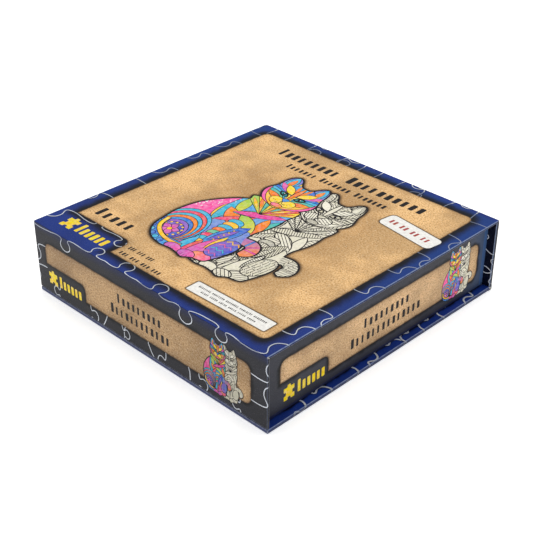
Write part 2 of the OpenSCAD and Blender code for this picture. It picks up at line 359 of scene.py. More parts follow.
def wrap_paper(name, colour, wear_and_highlight):
    """Plain printed paper on a board, and on its edges paler towards the white of the paper: real wear, and
    on the bevelled edge faces a painted highlight as well.
    """
    ink = Ink(name, specular=0.2)
    tone = ink.mottled(colour, shade(colour, 0.6), 25, 3, 0.3)
    wear_and_highlight_mix = ink.ramp(ink.noise(2.5, 4, 0.65), 0.35, 0.65, wear_and_highlight * 0.4, wear_and_highlight)
    return laminated(ink, ink.mix(wear_and_highlight_mix, tone, SEAM))


# ---------- outlines: a point is a complex number, across + up * 1j ----------
TINY = 1e-9  # keeps a division right where a length is zero


def pts(*pairs):
    """A line through the given places."""
    return np.array([complex(x, y) for x, y in pairs])


def smooth(points, closed=True, steps=4):
    """A Catmull-Rom curve through the points."""
    if closed:
        before, here, after, beyond = (np.roll(points, k) for k in (1, 0, -1, -2))
    else:
        run = np.concatenate([points[:1], points, points[-1:]])
        before, here, after, beyond = run[:-3], run[1:-2], run[2:-1], run[3:]
    out = []
    for a, b, c, d in zip(before, here, after, beyond):
        t = np.arange(steps) / steps
        square, cube = 2 * a - 5 * b + 4 * c - d, 3 * b - a - 3 * c + d
        out.append(b + 0.5 * ((c - a) * t + square * t**2 + cube * t**3))
    return np.concatenate(out if closed else out + [points[-1:]])


def turn_by(degrees):
    """The number that a point is multiplied by to turn it about zero."""
    return np.exp(1j * np.radians(degrees))


def oval(centre, rx, ry=None, turn=0, n=18):
    """An ellipse of n points, turned by degrees."""
    a = np.arange(n) / n * 2 * np.pi
    return centre + (rx * np.cos(a) + 1j * (ry or rx) * np.sin(a)) * turn_by(turn)


def petal(a, b, width, n=8):
    """A leaf from a to b."""
    t = np.linspace(0, 1, n)
    side = 1j * (b - a) / abs(b - a) * width / 2 * np.sin(np.pi * t) ** 0.8
    middle = a + (b - a) * t
    return np.concatenate([middle + side, (middle - side)[-2:0:-1]])


def wedge(centre, r0, r1, a0, a1, n=5):
    """A piece of a ring, between two angles in degrees."""
    a = turn_by(np.linspace(a0, a1, n))
    return np.concatenate([centre + r1 * a, centre + r0 * a[::-1]])


def between(one, other):
    """The outline that goes out along one line and back along the other."""
    return np.concatenate([one, other[::-1]])


def rounded_box(x0, x1, y0, y1, r, n=5):
    """A rectangle with round corners of n points each."""
    quarter = np.exp(1j * np.linspace(0, np.pi / 2, n)) * r
    corners = ((x1 - r, y1 - r), (x0 + r, y1 - r), (x0 + r, y0 + r), (x1 - r, y0 + r))
    return np.concatenate([complex(x, y) + quarter * 1j**k for k, (x, y) in enumerate(corners)])


def ahead_of(line, closed):
    """Which way the line runs at each of its points."""
    d = np.roll(line, -1) - np.roll(line, 1) if closed else np.gradient(line)
    return d / np.maximum(abs(d), TINY)


def ribbon(line, width):
    """The outline of a stroke. A width per point gives a tapered one."""
    side = 1j * ahead_of(line, False) * width / 2
    return between(line + side, line - side)


def grow(outline, by):
    """The outline moved outwards."""
    turn = np.sign(np.sum((outline.conj() * np.roll(outline, -1)).imag))
    return outline - 1j * turn * by * ahead_of(outline, True)


def mirrored(outline, x):
    """The outline's mirror image across the upright line at x."""
    return 2 * x - outline.conj()


def covers(outline, at):
    """Which of the points lie inside a closed outline, by its winding."""
    x0, y0 = outline.real, outline.imag
    x1, y1 = np.roll(x0, -1), np.roll(y0, -1)
    x, y = at.real[:, None], at.imag[:, None]
    side = (x1 - x0) * (y - y0) - (y1 - y0) * (x - x0)
    up = (y0 <= y) & (y1 > y) & (side > 0)
    down = (y0 > y) & (y1 <= y) & (side < 0)
    return up.sum(axis=1) != down.sum(axis=1)


def share_along(at, start, run):
    """How far along a straight run from start each point lies, from 0 to 1."""
    return np.clip(((at - start) * run.conj()).real / np.maximum(abs(run) ** 2, TINY), 0, 1)


def distance_to(outline, at):
    """Distance of each point to the outline, zero inside it."""
    run = np.roll(outline, -1) - outline
    z = at[:, None]
    apart = z - outline - share_along(z, outline, run) * run
    return np.where(covers(outline, at), 0, abs(apart).min(axis=1))


# ---------- sheets of printed paper ----------
COARSE_STEP, FINE_STEP = 6.0, 1.6  # spacing of a sheet's own points, and where a glow fades
BEYOND = 9.0  # stands for a place that no glow reaches
Shape = namedtuple("Shape", "outline material colour fade clips")


class Art:
    """Flat printed art. Later shapes cover earlier ones."""

    def __init__(self, outline, ink):
        self.outline = outline
        self.shapes = []
        self.lit = []  # outlines that cast a dark glow, each with its reach
        self.creases = []
        self.at()
        self.paint(outline, *ink)

    def at(self, shift=0, turn=1, pale=False, light=1.0):
        """Where, how large and how turned the next shapes are, whether they are the uncoloured ones,
        and the share of its light that a patch keeps, below 1 a painted shade."""
        self.shift, self.turn, self.pale, self.light = shift, turn, pale, light
        return self

    def seen(self, outline):
        """The outline where it lies on the sheet."""
        return outline * self.turn + self.shift

    def paint(self, outline, material, colour, inside=(), fade=None):
        """fade is the colour at the outline's far end, where it isn't the same all over."""
        clips = [self.seen(clip) for clip in inside]
        self.shapes.append(Shape(self.seen(outline), material, colour, fade or colour, clips))

    def patch(self, outline, colour, line, inside, fade=None):
        """A picture colour that fades into the next one, with a black line round it."""
        fade = blended(colour, fade or next_colour(colour), 0.9 if fade else 0.65)
        if self.pale:
            colour, fade = cream(colour), cream(fade)
        if line:
            self.paint(grow(outline, line), ART, BLACK, inside)
        self.paint(outline, ART, shade(colour, self.light), inside, shade(fade, self.light))

    def stroke(self, line, width, colour, inside):
        """A line of paint."""
        self.paint(ribbon(line, width), ART, colour, inside)

    def hatch(self, outline, step, width, slant, inside):
        """Parallel pen lines across an outline."""
        way = turn_by(slant)
        across = (outline / way).imag
        reach = (outline / way).real
        for y in np.arange(across.min() + step / 2, across.max(), step):
            line = pts((reach.min(), y), (reach.max(), y)) * way
            self.stroke(line, width, BLACK, inside=(outline, *inside))

    def cast_glow(self, outline, reach):
        """Scorches the board round an outline, fading out over that reach."""
        self.lit.append((self.seen(outline), reach))

    def crease(self, a, b):
        """A line that the sheet bends along."""
        self.creases.append(np.array([a, b]))

    def glow_at(self, at):
        """0 on a glowing shape, 1 and more beyond its reach."""
        glow = np.full(len(at), BEYOND)
        for outline, reach in self.lit:
            near = np.flatnonzero(in_reach(outline, at, 2 * reach))
            glow[near] = np.minimum(glow[near], distance_to(outline, at[near]) / reach)
        return glow

    def grid(self):
        """Points all over the sheet, closer together where a glow fades."""
        low, high = (complex(f(self.outline.real), f(self.outline.imag)) for f in (min, max))

        def rows(step):
            u = np.arange(low.real + step / 3, high.real, step)
            v = np.arange(low.imag + step / 3, high.imag, step)
            return (u[None, :] + 1j * v[:, None]).ravel()

        fine = rows(FINE_STEP)
        glow = self.glow_at(fine)
        return np.concatenate([rows(COARSE_STEP), fine[(glow > 0) & (glow < 1.3)]])

    def cut(self):
        """Triangles along every outline that shows, and for each the shape that it belongs to."""
        # a rough cut along every outline tells which shape shows where
        points, edges = [], []
        lines = [(shape.outline, True) for shape in self.shapes] + [(c, False) for c in self.creases]
        for line, closed in lines:
            first, n = len(points), len(line)
            points.extend(line)
            edges.extend((first + k, first + (k + 1) % n) for k in range(n if closed else n - 1))
        rough, pieces = triangulated(points, edges)
        centre = rough[pieces].mean(axis=1)
        owner = np.where(covers(self.outline, centre), self.owners(centre), -1)
        # the fine one goes along the edges that show and the creases, over the points of the grid
        points, edges = seen_edges(rough, pieces, self.ink_ids()[owner])
        for crease in self.creases:
            edges.append((len(points), len(points) + 1))
            points = np.concatenate([points, crease])
        at, tris = triangulated(np.concatenate([points, self.grid()]), edges)
        centre = at[tris].mean(axis=1)
        rough_mesh = BVHTree.FromPolygons([(p.real, p.imag, 0) for p in rough], pieces.tolist())
        owner = owner[[rough_mesh.find_nearest((p.real, p.imag, 0))[2] for p in centre]]
        kept = owner >= 0
        used, tris = np.unique(tris[kept], return_inverse=True)
        return at[used], tris.reshape(-1, 3), owner[kept]

    def ink_ids(self):
        """One number for every shape. Shapes of one plain ink share theirs."""
        ids = {}
        for k, shape in enumerate(self.shapes):
            key = (shape.material.name, shape.colour) if shape.fade == shape.colour else k
            ids.setdefault(key, []).append(k)
        numbers = np.full(len(self.shapes) + 1, -1)
        for number, members in enumerate(ids.values()):
            numbers[members] = number
        return numbers

    def owners(self, at):
        """The last shape painted over each point, or -1."""
        order = np.argsort(at.real)
        at = at[order]
        owner = np.full(len(at), -1)
        for k in range(len(self.shapes) - 1, -1, -1):
            outline = self.shapes[k].outline
            low, high = np.searchsorted(at.real, (outline.real.min(), outline.real.max()))
            up = at.imag[low:high]
            free = (owner[low:high] < 0) & (up > outline.imag.min()) & (up < outline.imag.max())
            hit = low + np.flatnonzero(free)
            for edge in (outline, *self.shapes[k].clips):
                hit = hit[covers(edge, at[hit])]
            owner[hit] = k
        back = np.empty(len(at), int)
        back[order] = owner
        return back

    def inks(self, at, tris, owner):
        """The colour at each corner of each triangle."""
        outlines = [shape.outline for shape in self.shapes]
        start = np.array([line[0] for line in outlines])[owner][:, None]
        run = np.array([line[len(line) // 2] - line[0] for line in outlines])[owner][:, None]
        t = share_along(at[tris], start, run)[..., None]
        near = np.array([shape.colour for shape in self.shapes])[owner][:, None, :]
        far = np.array([shape.fade for shape in self.shapes])[owner][:, None, :]
        return near + (far - near) * t

    def sheet(self, name, place, finish_slot):
        """The art as a thin closed mesh. place turns across, up and depth into x, y and z in millimetres."""
        at, tris, owner = self.cut()
        n = len(at)
        top = place(at.real, at.imag, np.zeros(n))
        under = place(at.real, at.imag, np.full(n, PAPER))
        # a side that no other triangle has lies on the rim
        sides = sides_of(tris)
        rim = sides[~np.isin(sides[:, 0] * n + sides[:, 1], sides[:, 1] * n + sides[:, 0])]
        rim = np.stack([rim[:, 1], rim[:, 0], rim[:, 0] + n, rim[:, 1] + n], axis=1)
        # faces run the other way round where the place turns the sheet over
        a, b, c = top[tris[0]]
        way = 1 if np.dot(np.cross(b - a, c - a), under[tris[0][0]] - a) < 0 else -1
        corners = self.inks(at, tris, owner)[:, ::way]
        faces = [tris[:, ::way], tris[:, ::-way] + n, rim[:, ::way]]
        mesh = bpy.data.meshes.new(name)
        points = (np.concatenate([top, under]) * MM).tolist()
        mesh.from_pydata(points, [], [face for part in faces for face in part.tolist()])
        materials = list(dict.fromkeys(shape.material for shape in self.shapes))
        for material in materials:
            mesh.materials.append(material)
        slots = np.zeros(len(mesh.polygons), np.int32)
        slots[: len(tris)] = np.array([materials.index(shape.material) for shape in self.shapes])[owner]
        mesh.polygons.foreach_set("material_index", slots)
        ink = np.ones((len(mesh.loops), 4), np.float32)
        ink[:, :3] = self.shapes[0].colour
        ink[: 3 * len(tris), :3] = corners.reshape(-1, 3)
        mesh.attributes.new("ink", "FLOAT_COLOR", "CORNER").data.foreach_set("color", ink.ravel())
        flat = np.stack([at.real, at.imag, np.zeros(n)], axis=1)
        twice = np.concatenate([flat, flat]).astype(np.float32)
        mesh.attributes.new("sheet", "FLOAT_VECTOR", "POINT").data.foreach_set("vector", twice.ravel())
        glow = np.tile(self.glow_at(at), 2).astype(np.float32)
        mesh.attributes.new("glow", "FLOAT", "POINT").data.foreach_set("value", glow)
        return in_scene(name, mesh)


def in_scene(name, data):
    """A new object in the scene."""
    made = bpy.data.objects.new(name, data)
    bpy.context.scene.collection.objects.link(made)
    return made


def triangulated(points, edges):
    """Triangles over the points, cut along the edges, all turned the same way."""
    flat = [Vector((p.real, p.imag)) for p in points]
    verts, _, faces, *_ = geometry.delaunay_2d_cdt(flat, edges, [], 0, 1e-4, False)
    at = np.array([complex(*v) for v in verts])
    tris = np.array([f for f in faces if len(f) == 3])
    a, b, c = at[tris].T
    turned = ((b - a).conj() * (c - a)).imag < 0
    tris[turned] = tris[turned][:, ::-1]
    return at, tris


def sides_of(tris):
    """The three sides of every triangle, as pairs of points."""
    return np.concatenate([tris[:, [0, 1]], tris[:, [1, 2]], tris[:, [2, 0]]])


def seen_edges(at, tris, ink):
    """The edges where the ink changes, with the points along straight runs left out."""
    sides = np.sort(sides_of(tris), axis=1)
    inks = np.tile(ink, 3)
    order = np.lexsort((sides[:, 1], sides[:, 0]))
    sides, inks = sides[order], inks[order]
    paired = (sides[1:] == sides[:-1]).all(axis=1)
    shown = sides[1:][paired & (inks[1:] != inks[:-1])]
    near = {}
    for a, b in shown.tolist():
        near.setdefault(a, []).append(b)
        near.setdefault(b, []).append(a)
    for here in list(near):
        if len(near[here]) != 2:
            continue
        a, b = near[here]
        if a == b or b in near[a]:
            continue
        run = at[b] - at[a]
        if abs(((at[here] - at[a]) * run.conj()).imag) < 0.012 * abs(run):
            near[a][near[a].index(here)] = b
            near[b][near[b].index(here)] = a
            del near[here]
    number = {v: k for k, v in enumerate(near)}
    edges = [(number[a], number[b]) for a in near for b in near[a] if a < b]
    return at[list(near)], edges


def in_reach(outline, at, reach):
    """Which of the points lie in the outline's box, grown by reach."""
    low = outline.real.min() - reach, outline.imag.min() - reach
    high = outline.real.max() + reach, outline.imag.max() + reach
    return (at.real >= low[0]) & (at.real <= high[0]) & (at.imag >= low[1]) & (at.imag <= high[1])


def over_edge(across, depth):
    """Wraps a sheet down over a panel's side edges. Returns x, and how far below the panel's face."""
    past = np.maximum(abs(across) - FLAT_X, 0)
    angle = np.minimum(past / EDGE_ARC, 1) * np.pi / 2
    down = np.maximum(past - EDGE_ARC, 0)
    x = np.minimum(abs(across), FLAT_X) + (EDGE_R - depth) * np.sin(angle)
    below = EDGE_R - (EDGE_R - depth) * np.cos(angle) + down
    return np.sign(across) * x, below


def over_fold(run, below):
    """Wraps a sheet over a square corner. run is the distance past it.
    Returns the place along the first face, and down the second."""
    angle = np.clip((run + FOLD_R) / (2 * FOLD_R), 0, 1) * np.pi / 2
    along = np.minimum(run, -FOLD_R) + (FOLD_R - below) * np.sin(angle)
    down = np.minimum(-run, -FOLD_R) + (FOLD_R - below) * np.cos(angle)
    return along, down


def joined(x, y, z):
    """Points from their three parts, any of which may be one number for all."""
    return np.stack(np.broadcast_arrays(x, y, z), axis=1)


def on_cover(across, up, depth):
    """The lid's top and the flap: up is y on the lid and goes on down the flap."""
    x, below = over_edge(across, depth)
    along, down = over_fold(-HY - up, below)
    return joined(x, -HY - along, HEIGHT + down)


def on_spine(across, up, depth):
    """The lid's back margin and the spine: up is y on the lid and goes on down the spine."""
    x, below = over_edge(across, depth)
    along, down = over_fold(up - HY, below)
    return joined(x, HY + along, HEIGHT + down)


# ---------- what is printed ----------
SEAM_W = 0.75  # width of a printed seam
SHADE_W, SHADE_SHIFT = 0.65, 0.35 - 0.35j  # how much wider its shaded side is, and where that lies
KNOB = pts((0, 0), (0.2, -0.02), (0.35, 0), (0.385, 0.05), (0.33, 0.15), (0.36, 0.26), (0.5, 0.32))
CUT = np.concatenate([KNOB, (1 - KNOB.conj())[-2::-1]])


def seams(across, up, seed, posts=True, runs=True):
    """The cuts of a big jigsaw, one knob between every two crossings.

    posts are its upright cuts and runs its level ones.
    """
    rng = random.Random(seed)
    cross = [[complex(u + rng.uniform(-4, 4), v + rng.uniform(-3, 3)) for u in across] for v in up]
    ends = [(row[i], row[i + 1]) for row in cross for i in range(len(row) - 1)] if runs else []
    ends += [(a, b) for low, high in zip(cross, cross[1:]) for a, b in zip(low, high)] if posts else []
    lines = []
    for a, b in ends:
        lean = 0.1 * rng.uniform(-1, 1) * np.sin(np.pi * CUT.real)
        knob = CUT.real + 1j * CUT.imag * rng.choice((-1, 1)) + lean
        lines.append(smooth(a + knob * (b - a), closed=False, steps=3))
    return lines


def print_seams(art, lines, border, colour, hidden_by=None, inside=(), wide=SEAM_W):
    """Pale cuts, each with a shaded side. Those that hidden_by covers are left out."""
    for line in lines:
        if hidden_by is not None and covers(grow(hidden_by, -2), line).all():
            continue
        art.paint(ribbon(line + SHADE_SHIFT, wide + SHADE_W), border, shade(colour, SEAM_SHADE), inside)
        art.paint(ribbon(line, wide), border, SEAM, inside)


def marks(art, x0, x1, y0, y1, seed, colour, pitch, words, tall=0.0, weight=1.0):
    """Plain upright marks in place of a line of words. tall is how far a word's first one stands up."""
    rng = random.Random(seed)
    gap = pitch * 0.9
    word = (x1 - x0 - gap * (words - 1)) / words
    for w in range(words):
        left = x0 + w * (word + gap)
        count = max(2, round(word / pitch))
        for k in range(count):
            wide = word / count * rng.uniform(0.42, 0.66) * weight
            start = left + k * word / count
            top = y1 + (tall if k == 0 else 0)
            art.paint(rounded_box(start, start + wide, y0, top, min(wide, y1 - y0) * 0.22, 3), ART, colour)


def label(art, half_w, half_h, r, rows):
    """A white label with rows of marks, centred where the art is placed.

    Each row is its foot, top, half length, colour, pitch and number of words.
    """
    outline = rounded_box(-half_w, half_w, -half_h, half_h, r)
    art.cast_glow(outline, 2.2)
    art.paint(grow(outline, 0.25), ART, BLACK)
    art.paint(outline, ART, WHITE)
    for y0, y1, reach, colour, pitch, words in rows:
        marks(art, -reach, reach, y0, y1, int(100 + 10 * y1), colour, pitch, words)


def badge(art, left, foot, width):
    """A yellow jigsaw piece and a row of yellow marks."""
    k = width / 50
    quarter = pts((0, 0), (0, 0), (5, 0), (5.6, 2.6), (9.4, 2.6), (10, 0))
    sides = [quarter, 15 + 1j * quarter, 15 + 15j - quarter.real + 1j * quarter.imag, 15j - 1j * quarter]
    piece = smooth(np.concatenate(sides), steps=3)
    art.paint(left + 1j * foot + piece * k * 0.8, ART, YELLOW)
    marks(art, left + 16 * k, left + width, foot + 1.2 * k, foot + 10 * k, 5, YELLOW, 5.6 * k, 1, 3 * k)


# ---------- the cats: patchwork of leaves, bands, rings and scallops, 143 mm tall ----------
MID = -12.5  # the line down the middle of the head
EARS = -13.8  # and between the ears
BODY = smooth(pts(
    (-32, 22), (-33, 15), (-40, 9), (-48, -1), (-55, -13), (-58, -24), (-59, -37), (-57, -50),
    (-55, -60), (-50, -68), (-42, -74), (-31, -76.5), (-21, -75.5), (-13, -76.5), (-7, -78), (-1, -74),
    (8, -72), (11, -66), (14, -54), (14, -43), (8, -32), (6.5, -21), (9, -10), (10, 0), (9, 10),
    (10, 20), (5, 25)))
HEAD = smooth(pts(
    (MID, 17.5), (-20, 19.5), (-28, 22.5), (-34, 29), (-36.5, 37), (-34, 47), (-34, 56), (-32.5, 62),
    (-28.5, 65.5), (-24.5, 63.5), (-20.5, 58), (-17, 55), (MID, 54.5), (-9, 55), (-5.5, 58.5),
    (-2.5, 63.5), (1, 65.5), (4.5, 62), (6.5, 55), (7.5, 48), (11, 38), (9.5, 30), (4, 23.5),
    (-4, 19.5)))
TAIL_LINE = smooth(pts((1, -33.5), (9, -33.5), (16, -33), (21, -36), (23, -41.5), (20, -49)), closed=False)
TAIL = ribbon(TAIL_LINE, np.interp(np.linspace(0, 1, len(TAIL_LINE)), [0, 0.5, 0.85, 1], [8, 10, 10, 4]))


SMALL_PEN, PALE_PEN, PEN = 1.3, 0.9, 0.6  # black round a patch: on small cats, uncoloured, coloured
SMALL_RIM, RIM = 1.8, 1.5  # and round the whole cat
GLOW_REACH = 3.3  # how far the board is scorched round a cat


class Cat:
    """One printed cat. Small ones leave out what wouldn't show."""

    def __init__(self, art, fine):
        self.art, self.fine = art, fine
        self.line = SMALL_PEN if not fine else PALE_PEN if art.pale else PEN
        self.count = 0
        for outline in (BODY, HEAD, TAIL):
            art.cast_glow(grow(outline, 1.0), GLOW_REACH * abs(art.turn))
        for outline in (BODY, HEAD, TAIL):
            art.paint(grow(outline, RIM if fine else SMALL_RIM), ART, BLACK)
        self.tail()
        self.back()
        self.chest()
        self.legs()
        self.haunch()
        self.head()

    def patch(self, outline, colour, line=None, inside=BODY, fade=None):
        """A patch of colour. On the uncoloured cat, most are filled with pen lines."""
        self.art.patch(outline, colour, self.line if line is None else line, (inside,), fade)
        self.count += 1
        size = np.ptp(outline.real) + np.ptp(outline.imag)
        if self.art.pale and self.fine and self.count % 6 and 8 < size < 80:
            self.art.hatch(outline, 1.5 + 0.4 * (self.count % 4), 0.55, 25 + 47 * self.count, (inside,))

    def leaves(self, *leaves):
        for a, b, width, colour in leaves:
            self.patch(petal(a, b, width), colour)

    def beads(self, spots, size):
        for spot in spots:
            self.art.patch(oval(spot, size, n=7), SUN, 0.3, (BODY,))

    def tail(self):
        self.patch(TAIL, PURPLE, 0, TAIL, fade=ORANGE)
        for k, colour in ((7, ROYAL), (11, PINK), (15, MAGENTA)):
            self.patch(ribbon(TAIL_LINE[k : k + 2], 12), colour, 0.25, TAIL)

    def back(self):
        """The starry back, and long leaves that hang from the neck."""
        self.patch(BODY, SKY, 0, fade=PURPLE)
        back = smooth(pts((-32, 24), (-52, 2), (-62, -16), (-64, -34), (-46, -32), (-33, -26), (-34, -6),
                          (-33, 10)))
        self.patch(back, PINK, fade=PINK)
        self.leaves((-39 - 2j, -31 - 30j, 8, SUN), (-35 + 18j, -32 - 28j, 10, SKY),
                    (-32 + 18j, -26 - 8j, 9, GREEN))
        rng = random.Random(3)
        for _ in range(34 if self.fine else 0):
            spot = -37 + 12j + rng.uniform(0.05, 1) * (-19 - 32j) + rng.uniform(-5, 5)
            star = oval(spot, rng.uniform(0.3, 0.8), n=6)
            self.art.paint(star, ART, BLACK if self.art.pale else WHITE, (BODY,))

    def chest(self):
        """Crossing leaves, a ladder of scallops down the belly, and a fan-shaped ruff over two bands."""
        self.leaves((-34 - 4j, -12 - 24j, 12, ORANGE), (9 + 4j, 8 - 24j, 9, TEAL),
                    (1 + 2j, 6 - 24j, 8, ORANGE), (-8 - 4j, -31 - 26j, 6, RED),
                    (-20 - 6j, 5 - 22j, 11, GREEN))
        for row in range(9):
            spot = complex(MID - 1, -19 - row * 5.4)
            self.patch(oval(spot, 6.6, 4.6, n=12), (SKY, SUN, SKY, ORANGE, TEAL, RED)[row % 6])
        self.leaves((-27 - 9j, 2 + 10j, 9, TEAL), (-28 - 8j, 10 + 10j, 8, MAGENTA))
        hub = complex(MID + 1, 2)
        for k, colour in enumerate((SUN, RED, ORANGE, SUN, GREEN, TEAL, SUN, GREEN)):
            middle = 40 + k * 14.5
            self.patch(wedge(hub, 1, 31, middle - 7.5, middle + 7.5), colour)
            if self.fine:
                way = turn_by(middle)
                self.patch(petal(hub + 9 * way, hub + 27 * way, 2.6), (ORANGE, SUN, TEAL)[k % 3], 0.25)

    def legs(self):
        """Leaves down the near legs with beads along them, and the far hind leg."""
        self.patch(petal(-37 - 22j, -21 - 74j, 15), ROYAL, fade=PINK)
        self.leaves((-32 - 32j, -22 - 70j, 6, PINK), (0 - 17j, -12 - 56j, 13, ROYAL),
                    (-3 - 26j, -11 - 50j, 5, PURPLE), (-18 - 50j, -19 - 80j, 7, SKY),
                    (-12 - 52j, -13 - 80j, 6, RED), (-3 - 40j, -8 - 86j, 12, PINK),
                    (-2 - 37j, -4 - 60j, 4, SUN))
        if self.fine:
            self.beads([complex(-6 - 0.5 * k, -28 - 4.6 * k) for k in range(5)], 0.8)
            self.beads([complex(-30 + 1.7 * k, -40 - 5.4 * k) for k in range(5)], 0.8)
        # the far hind leg: a leaf with zigzags over a paw
        self.patch(oval(3 - 69j, 8.5, 5.5), PINK, fade=ORANGE)
        self.patch(oval(6 - 51j, 8.6, 14, -13), ROYAL, fade=PURPLE)
        for k in range(4 if self.fine else 2):
            y = -62 + k * (6.5 if self.fine else 11)
            zig = pts((0, y), (3, y + 3), (6, y), (9, y + 3), (12, y)) + 0.2 * (y + 51)
            self.patch(ribbon(zig, 1.2), (PINK, SKY, PINK, SUN)[k], 0.2 if self.fine else 0)

    def haunch(self):
        """Arches over a ring of beads and a flower, and the tail's end wrapped round the feet."""
        hub = -42 - 50j
        for k, colour in enumerate((SKY, RED, SKY, ORANGE, ROYAL, PURPLE, ROYAL)):
            arch = oval(hub - 1.7j * k, 21 - 1.7 * k, 27 - 2.4 * k, n=30)
            self.patch(arch, colour, fade=PURPLE if k > 4 else None)
        hub -= 8j
        way = np.exp(2j * np.pi * np.arange(14) / 14)
        self.beads(hub + 9.6 * way, 1.1 if self.fine else 0.9)
        for k in range(5):
            self.patch(petal(hub, hub + 8.4 * np.exp(2j * np.pi * (k + 0.2) / 5), 5.6), PINK)
        self.beads([hub], 2.0)
        wrap = smooth(pts((-58, -48), (-55, -61), (-46, -69), (-34, -72.5), (-19, -72)), closed=False)
        self.patch(ribbon(wrap, 12), ROYAL, fade=SKY)
        self.patch(ribbon(wrap[1:-1] + 3.2 + 3.2j, 3), SUN)
        for k in range(0, len(wrap) - 1, 2 if self.fine else 4):
            self.patch(oval(wrap[k] - 0.5 - 1j, 2.2, n=10), SKY if k % 4 else ROYAL)
        for x in (-21, -7):
            self.patch(oval(complex(x, -73.5), 7, 4.8, n=16), PINK)
            for toe in (-2.4, 0, 2.4) if self.fine else ():
                self.art.stroke(pts((x + toe, -79), (x + toe, -74.4)), 0.4, BLACK, inside=(BODY,))

    def both(self, outline, colour, line=None, mirror=MID, fade=None):
        """The same patch on both sides of the face."""
        for one in (outline, mirrored(outline, mirror)):
            self.patch(one, colour, line, HEAD, fade)

    def eye(self, side):
        """An almond-shaped eye."""
        white = CREAM_DARK if self.art.pale else shade(TEAL, 0.6)
        for outline, colour in (
            (petal(-26 + 40.5j, -15 + 36.5j, 6.4), BLACK),
            (petal(-24 + 39.8j, -16.6 + 37j, 3.2), white),
            (oval(-20.2 + 38.6j, 1.4, 1.9, n=10), BLACK),
            (oval(-20.7 + 39.3j, 0.5, n=6), WHITE),
        ):
            self.art.paint(mirrored(outline, MID) if side > 0 else outline, ART, colour, (HEAD,))

    def head(self):
        """A mask of bands, the same on both sides."""
        art = self.art
        art.paint(grow(HEAD, self.line), ART, BLACK)
        self.patch(HEAD, SUN, 0, HEAD, fade=SUN)
        self.both(petal(-39 + 46j, -18 + 17j, 13), PINK, fade=PINK)
        self.both(petal(-35 + 43j, -14 + 18j, 11), SUN)
        self.both(petal(-28.5 + 71j, -29 + 42j, 14), PURPLE, mirror=EARS, fade=SKY)
        self.both(petal(-28.5 + 66j, -28 + 46j, 8.4), SKY, mirror=EARS)
        self.both(petal(-28 + 62j, -27.5 + 48j, 4.6), ORANGE, 0.25, mirror=EARS)
        self.patch(oval(MID + 49j, 11.5, 9), ROYAL, None, HEAD, SKY)
        for k, colour in enumerate((ROYAL, SKY, TEAL, ORANGE)):
            cheek, nose = complex(-38 + k * 1.5, 47 - k * 3.8), complex(-15, 35 - k * 2.2)
            self.both(petal(cheek, nose, 5.6), colour)
        self.both(petal(-34 + 52j, -20 + 42j, 5), PINK, 0.25)
        self.both(petal(-27 + 52j, -15 + 41j, 6.4), SUN, fade=SUN)
        for k, colour in enumerate((SKY, ORANGE)):
            top, foot = complex(MID - 2 - 3.6 * k, 57), complex(MID - 1.5 - k, 43 + k)
            self.both(petal(top, foot, 2.8), colour, 0.25)
        self.patch(petal(MID + 56j, MID + 32j, 3.6), ORANGE, None, HEAD)
        self.both(oval(-18 + 27.5j, 6.4, 5.0, -18), SUN, fade=SUN)
        self.eye(-1)
        self.eye(1)
        self.patch(smooth(pts((MID - 3.2, 33), (MID + 3.2, 33), (MID, 28.8)), steps=3), ROYAL, None, HEAD)
        self.patch(oval(MID + 21.4j, 5, 2.4, n=14), ORANGE, None, HEAD, PINK)
        if self.fine:
            for side in (-1, 1):
                mouth = smooth(pts((0, 28.8), (side * 1.4, 25.6), (side * 5.4, 24.8)), closed=False)
                art.stroke(MID + mouth, 0.5, BLACK, inside=(HEAD,))
                for k in range(3):
                    freckle = complex(MID + side * (8.4 - 2.4 * k), 27.6 - 0.8 * k)
                    art.paint(oval(freckle, 0.45, n=6), ART, BLACK)


CATS_APART = 36.5


def two_cats(art, shift, scale, turn=1, fine=True, light=1.0):
    """The uncoloured cat stands behind the coloured one, to its right."""
    Cat(art.at(shift + CATS_APART * scale * turn, scale * turn, True, light), fine)
    Cat(art.at(shift, scale * turn, False, light), fine)
    art.at()


# ---------- printed sheets of the box ----------
PANEL_R = 6  # corner radius of a kraft panel
# the lid's kraft panel and the notch in its corner: left, right, low, high, corner radius
LID_PANEL, LID_NOTCH = (-106.6, 106.2, -108.8, 108, PANEL_R), (-140, -45, -140, -90, PANEL_R)
CAT_H, CAT_FOOT, CAT_LEFT = 143, -77, -58  # height of the full-size cats, their feet and left side
PAST = 30  # how far a shape that is trimmed by another one goes on past it


